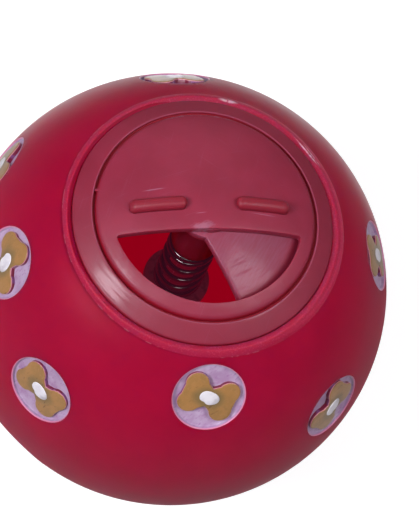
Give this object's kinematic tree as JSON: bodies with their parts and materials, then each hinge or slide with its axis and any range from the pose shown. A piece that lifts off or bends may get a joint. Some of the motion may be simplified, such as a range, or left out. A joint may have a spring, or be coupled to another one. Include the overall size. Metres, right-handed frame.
{
  "type": "treat ball",
  "caption": "Hollow vinyl ball for pet treats, with a domed, spring-held dial whose window turns over a shutter plate to let treats fall out, and round recessed medallions.",
  "frame": {"origin": "the centre of the ball", "axes": "+Z runs out of the ball along the dial's axis, +X along the finger bars at rest, and the dial's window lies on the -Y side at rest"},
  "size_m": [0.075, 0.075, 0.0761],
  "materials": {
    "vinyl": "satin soft vinyl",
    "insert_plastic": "semi-gloss moulded plastic",
    "spring_steel": "bright drawn wire",
    "lilac_paint": "matt paint",
    "tan_paint": "matt paint",
    "white_paint": "matt paint"
  },
  "bodies": {
    "ball": {"ball_shell": "vinyl", "insert_collar": "insert_plastic", "spring": "spring_steel", "medallion_field": "lilac_paint", "medallion_bone": "tan_paint", "medallion_spot": "white_paint"},
    "spring_seat": {"spring_washer": "spring_steel"},
    "dial": {"dial": "insert_plastic", "stem_screw": "spring_steel"}
  },
  "joints": [
    {"name": "dial_lift", "type": "slide", "parent": "ball", "child": "spring_seat", "axis": [0, 0, 1], "range_m": [0, 0.008], "stiffness_N_per_m": 400, "springref_m": -0.004, "deforming": ["spring"]},
    {"name": "dial_turn", "type": "hinge", "parent": "spring_seat", "child": "dial", "pos_m": [0, 0, 0], "axis": [0, 0, 1], "continuous": true}
  ]
}
